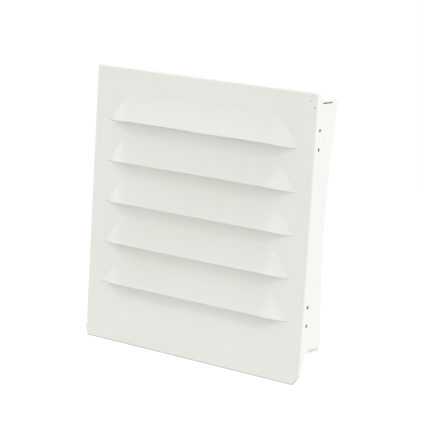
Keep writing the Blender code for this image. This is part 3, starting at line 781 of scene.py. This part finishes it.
softEdges = {
    "frame_zinc": 0.00018,
    "hood_paint": 0.00026,
    "spring_steel": 0.00012,
    "bead_plastic": 0.00035,
    "gasket_foam": 0.00045,
}
slotOf = {entry["node"]: entry["material_slot"] for entry in frame["record"]["subparts"]}
bodyOf = {node: body for body, nodes in frame["record"]["behaviour"]["bodies"].items() for node in nodes}


def softened(node):
    # a copy of the solid with its loose triangles joined and its edges broken
    slot = slotOf[node]
    copy = bpy.data.objects.new(node + "Work", frame["nodes"][node].data.copy())
    bpy.context.scene.collection.objects.link(copy)
    build = bmesh.new()
    build.from_mesh(copy.data)
    bmesh.ops.remove_doubles(build, verts=build.verts, dist=1e-6)
    bmesh.ops.dissolve_limit(build, angle_limit=math.radians(0.5), verts=build.verts, edges=build.edges)
    build.to_mesh(copy.data)
    build.free()
    copy.data.shade_smooth()
    addModifier(
        copy, "BEVEL", width=softEdges[slot], segments=2, limit_method="ANGLE",
        angle_limit=math.radians(40), use_clamp_overlap=True,
    )
    addModifier(copy, "WEIGHTED_NORMAL", keep_sharp=True, weight=60)
    words = node.split("_")
    name = words[0] + "".join(word.capitalize() for word in words[1:])
    return finishPiece(settled(copy, name), [node], bodyOf[node], slot)


kept = [node for node in sorted(slotOf) if slotOf[node] in softEdges and node != "front_hood"]
softenedPieces = [softened(node) for node in kept]
print("softened pieces:", len(softenedPieces))


screen = {
    "Pitch": 0.0022,
    "Wire Radius": 0.000125,
    "Wave": 0.000122,          # how far a wire bows over and under its neighbours
}


def screenTree():
    inputs = {label: ("Float", value) for label, value in screen.items()}
    inputs.update({
        "Upright Wires": ("Int", 90),
        "Level Wires": ("Int", 80),
        "Depth": ("Float", 0.0),
        "Material": ("Material", None),
    })
    group, tree, given = newGeometryTree("wovenScreen", inputs)
    index = tree.add("GeometryNodeInputIndex")
    gauge = {"Resolution": 4, "Radius": given["Wire Radius"]}
    profile = tree.add("GeometryNodeCurvePrimitiveCircle", {"mode": "RADIUS"}, gauge)
    sets = []
    for upright in (True, False):
        count, crossings = given["Upright Wires"], given["Level Wires"]
        if not upright:
            count, crossings = crossings, count
        half = (crossings - 1) * given["Pitch"] / 2
        start = (count - 1) * given["Pitch"] * -0.5
        ends = [(0.0, 0.0, half * sign) if upright else (half * sign, 0.0, 0.0) for sign in (-1.0, 1.0)]
        line = tree.add(
            "GeometryNodeCurvePrimitiveLine", {"mode": "POINTS"},
            {"Start": tree.vector(*ends[0]), "End": tree.vector(*ends[1])},
        )
        line = tree.add("GeometryNodeResampleCurve", None, {"Curve": line, "Count": crossings})
        first = (start, 0.0, 0.0) if upright else (0.0, 0.0, start)
        step = (given["Pitch"], 0.0, 0.0) if upright else (0.0, 0.0, given["Pitch"])
        row = {"Count": count, "Start Location": tree.vector(*first), "Offset": tree.vector(*step)}
        points = tree.add("GeometryNodeMeshLine", {"mode": "OFFSET"}, row)
        wires = tree.add("GeometryNodeInstanceOnPoints", None, {"Points": points, "Instance": line})
        wires = tree.add("GeometryNodeRealizeInstances", None, {"Geometry": wires})
        number = tree.add("ShaderNodeMath", {"operation": "FLOOR"}, ((index + 0.5) / crossings,))
        over = ((index - number * crossings + number) % 2.0) * 2 - 1
        bow = over * given["Wave"] * (1.0 if upright else -1.0) + given["Depth"]
        bent = {"Geometry": wires, "Offset": tree.vector(0.0, bow, 0.0)}
        wires = tree.add("GeometryNodeSetPosition", None, bent)
        drawn = {"Curve": wires, "Profile Curve": profile, "Fill Caps": True}
        sets.append(tree.add("GeometryNodeCurveToMesh", None, drawn))
    cloth = tree.add("GeometryNodeJoinGeometry", None, {"Geometry": sets})
    closeTree(group, tree, cloth, given)
    return group


def makeScreen():
    low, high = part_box("insect_screen")
    room = high - low
    values = {
        **screen,
        "Upright Wires": int(room.x / screen["Pitch"]),
        "Level Wires": int(room.z / screen["Pitch"]),
        "Depth": (low.y + high.y) / 2,
        "Material": finishes["screen_wire"],
    }
    cloth = meshObject("screenWork", bmesh.new())
    growWith(cloth, screenTree(), values)
    return finishPiece(settled(cloth, "insectScreen"), ["insect_screen"], "wall_frame", "screen_wire")


insectScreen = makeScreen()
print("insect screen:", len(insectScreen.data.polygons), "faces")


rivet = {
    "shank": 0.0015,
    "head": 0.0026,
    "headHeight": 0.0011,
    "bulb": 0.0021,
    "bulbLength": 0.0022,
    "hollow": 0.00075,
    "sides": 28,
}


def rivetBlank(length):
    # a set blind rivet along +X: its head starts at 0 and its tail ends at -length
    head, top = rivet["head"], rivet["headHeight"]
    profile = [(0.0, top * 0.35), (rivet["hollow"], top * 0.30), (rivet["hollow"], top * 0.97)]
    for k in range(9):
        turn = math.pi / 2 * k / 8
        radius = rivet["hollow"] * 1.25 + (head - rivet["hollow"] * 1.25) * math.sin(turn)
        profile.append((radius, top * (0.22 + 0.78 * math.cos(turn))))
    profile += [(head, 0.0), (rivet["shank"], 0.0)]
    bulbStart = -length + rivet["bulbLength"]
    profile.append((rivet["shank"], bulbStart))
    for k in range(7):
        turn = math.pi * k / 6
        radius = rivet["shank"] * 0.8 + (rivet["bulb"] - rivet["shank"] * 0.8) * math.sin(turn) ** 0.6
        profile.append((radius, bulbStart - rivet["bulbLength"] * (1 - math.cos(turn)) / 2))
    profile.append((0.0, -length))

    # one ring of points for each step of the profile, and a single point where it meets the axis
    build = bmesh.new()
    sides = rivet["sides"]
    rings = []
    for radius, x in profile:
        turns = [math.tau * k / sides for k in range(sides if radius > 0 else 1)]
        rings.append([build.verts.new((x, radius * math.cos(t), radius * math.sin(t))) for t in turns])
    for near, far in zip(rings, rings[1:]):
        for k in range(sides):
            corners = [(near, k), (near, k + 1), (far, k + 1), (far, k)]
            points = [ring[place % len(ring)] for ring, place in corners]
            build.faces.new(list(dict.fromkeys(points)))       # a triangle next to the axis
    bmesh.ops.recalc_face_normals(build, faces=build.faces)
    return meshObject("rivetBlank", build)


def rivetTree():
    inputs = {"Blank": ("Object", None), "Material": ("Material", None)}
    group, tree, given = newGeometryTree("cornerRivets", inputs)
    blank = tree.add("GeometryNodeObjectInfo", None, {"Object": given["Blank"]}, "Geometry")
    across = tree.parts(tree.add("GeometryNodeInputPosition"))[0]
    turn = tree.vector(0.0, 0.0, (across < 0.0) * math.pi)     # the left side's heads face left
    places = {"Points": given["Geometry"], "Instance": blank, "Rotation": turn}
    copies = tree.add("GeometryNodeInstanceOnPoints", None, places)
    closeTree(group, tree, copies, given)
    return group


def makeRivets():
    nodes = sorted(node for node in slotOf if node.startswith("corner_rivet"))
    build = bmesh.new()
    for node in nodes:
        low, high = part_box(node)
        outer = high.x if high.x > 0 else low.x
        seat = outer - math.copysign(rivet["headHeight"], outer)
        build.verts.new((seat, (low.y + high.y) / 2, (low.z + high.z) / 2))
        length = high.x - low.x - rivet["headHeight"]      # the same for all eight
    places = meshObject("rivetWork", build)
    blank = rivetBlank(length)
    growWith(places, rivetTree(), {"Blank": blank, "Material": finishes["rivet_aluminium"]})
    piece = settled(places, "cornerRivets")
    bpy.data.objects.remove(blank, do_unlink=True)
    piece.data.set_sharp_from_angle(angle=math.radians(40))
    return finishPiece(piece, nodes, "wall_frame", "rivet_aluminium")


cornerRivets = makeRivets()
print("corner rivets:", len(cornerRivets.data.polygons), "faces")


studio = {
    "floorDrop": 0.50,         # floor below the lip
    "floorHalf": 40.0,
    "floorShade": (0.90, 0.90, 0.90, 1.0),
    "floorWorn": (0.89, 0.89, 0.89, 1.0),
    "skyShade": (1.0, 1.0, 1.0, 1.0),
    "skyStrength": 1.0,
    "keyFrom": (0.18, -0.80, 1.15),
    "keySpread": 11.0,         # degrees across, which softens its shadows
    "keyStrength": 0.45,
    "lamps": [                 # place, size, watts, shade
        ("rightLamp", (2.2, -0.12, 0.35), 1.3, 15.2, (0.88, 0.89, 1.0)),
        ("topLamp", (0.0, 0.35, 2.2), 1.2, 14.0, (1.0, 1.0, 1.0)),
        ("leftLamp", (-2.2, -0.12, 0.35), 1.3, 7.5, (0.97, 1.0, 1.0)),
    ],
}


def makeFloor():
    finish = Finish("paleFloor", Roughness=0.9)
    grain = finish.noise(40.0, 3.0)
    finish.wire(Base_Color=finish.mix(grain, studio["floorShade"], studio["floorWorn"]))
    build = bmesh.new()
    half = studio["floorHalf"]
    level = cadLow.z - studio["floorDrop"]
    corners = [(-half, -half), (half, -half), (half, half), (-half, half)]
    build.faces.new([build.verts.new((x, y, level)) for x, y in corners])
    floor = meshObject("floor", build)
    floor.data.materials.append(finish.material)


def addLight(kind, name, place, **settings):
    light = bpy.data.lights.new(name, kind)
    for label, value in settings.items():
        setattr(light, label, value)
    holder = bpy.data.objects.new(name, light)
    bpy.context.scene.collection.objects.link(holder)
    holder.location = place
    holder.rotation_euler = (-Vector(place)).to_track_quat("-Z", "Y").to_euler()


def makeLamps():
    spread = math.radians(studio["keySpread"])
    addLight("SUN", "keyLight", studio["keyFrom"], energy=studio["keyStrength"], angle=spread)
    for name, place, size, watts, shade in studio["lamps"]:
        addLight("AREA", name, place, shape="DISK", size=size, energy=watts, color=shade)


def makeSky():
    world = bpy.data.worlds.new("studioSky")
    world.use_nodes = True
    sky = world.node_tree.nodes["Background"]
    sky.inputs["Color"].default_value = studio["skyShade"]
    sky.inputs["Strength"].default_value = studio["skyStrength"]
    bpy.context.scene.world = world
    bpy.context.scene.view_settings.view_transform = "Standard"


lookout = {
    "lens": 147.95,
    "sensor": 36.0,
    "azimuth": 35.98,
    "elevation": 10.216,
    "roll": 3.414,
    "distance": 1.6424,
    "targetX": 0.01852,
    "targetDrop": 0.12692,     # below the panel's top edge
}


def makeCamera():
    values = lookout
    lens = bpy.data.cameras.new("camera")
    lens.lens = values["lens"]
    lens.sensor_width = values["sensor"]
    lens.dof.use_dof = False
    lens.clip_end = 200.0
    camera = bpy.data.objects.new("camera", lens)
    bpy.context.scene.collection.objects.link(camera)
    around, above, roll = (math.radians(values[key]) for key in ("azimuth", "elevation", "roll"))
    level = math.cos(above)
    back = Vector((math.sin(around) * level, -math.cos(around) * level, math.sin(above)))
    right = Vector((math.cos(around), math.sin(around), 0.0))
    up = back.cross(right)
    turned = right * math.cos(roll) + up * math.sin(roll)
    up = back.cross(turned)
    target = Vector((values["targetX"], frontY, panelTop - values["targetDrop"]))
    place = Matrix((turned, up, back)).transposed().to_4x4()
    place.translation = target + back * values["distance"]
    camera.matrix_world = place
    bpy.context.scene.camera = camera


makeFloor()
makeLamps()
makeSky()
makeCamera()
print("studio ready")
